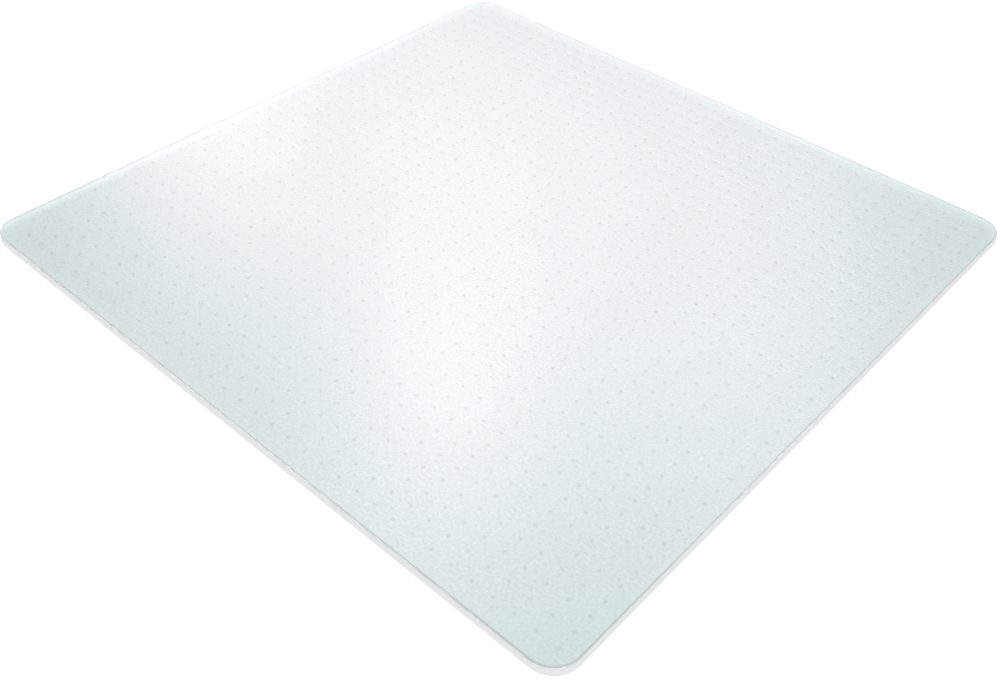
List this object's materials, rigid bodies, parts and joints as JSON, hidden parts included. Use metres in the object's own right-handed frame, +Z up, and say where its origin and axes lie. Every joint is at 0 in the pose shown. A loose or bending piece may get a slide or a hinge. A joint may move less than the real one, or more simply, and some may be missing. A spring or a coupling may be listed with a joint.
{
  "type": "chair mat",
  "caption": "Square frosted translucent plastic chair mat with rounded corners and a field of tapered grip studs underneath, laid on carpet under an office chair.",
  "frame": {"origin": "on the floor at the middle of the mat: in the plane of the stud tips, below the centre of the sheet's outline", "axes": "+Z up, +X along the rows of studs, +Y across them towards the last row"},
  "size_m": [1.2, 1.2, 0.012],
  "materials": {
    "frosted_sheet": "satin, with a fine pebbled texture on top; translucent with a pale blue-green tint",
    "grip_stud": "smooth as moulded, the same translucent plastic as the sheet"
  },
  "bodies": {
    "root": {"mat_sheet": "frosted_sheet", "stud_row_01": "grip_stud", "stud_row_02": "grip_stud", "stud_row_03": "grip_stud", "stud_row_04": "grip_stud", "stud_row_05": "grip_stud", "stud_row_06": "grip_stud", "stud_row_07": "grip_stud", "stud_row_08": "grip_stud", "stud_row_09": "grip_stud", "stud_row_10": "grip_stud", "stud_row_11": "grip_stud", "stud_row_12": "grip_stud", "stud_row_13": "grip_stud", "stud_row_14": "grip_stud", "stud_row_15": "grip_stud", "stud_row_16": "grip_stud", "stud_row_17": "grip_stud", "stud_row_18": "grip_stud", "stud_row_19": "grip_stud", "stud_row_20": "grip_stud", "stud_row_21": "grip_stud", "stud_row_22": "grip_stud", "stud_row_23": "grip_stud", "stud_row_24": "grip_stud", "stud_row_25": "grip_stud", "stud_row_26": "grip_stud", "stud_row_27": "grip_stud", "stud_row_28": "grip_stud", "stud_row_29": "grip_stud", "stud_row_30": "grip_stud", "stud_row_31": "grip_stud", "stud_row_32": "grip_stud", "stud_row_33": "grip_stud", "stud_row_34": "grip_stud", "stud_row_35": "grip_stud", "stud_row_36": "grip_stud", "stud_row_37": "grip_stud", "stud_row_38": "grip_stud", "stud_row_39": "grip_stud"}
  },
  "joints": []
}
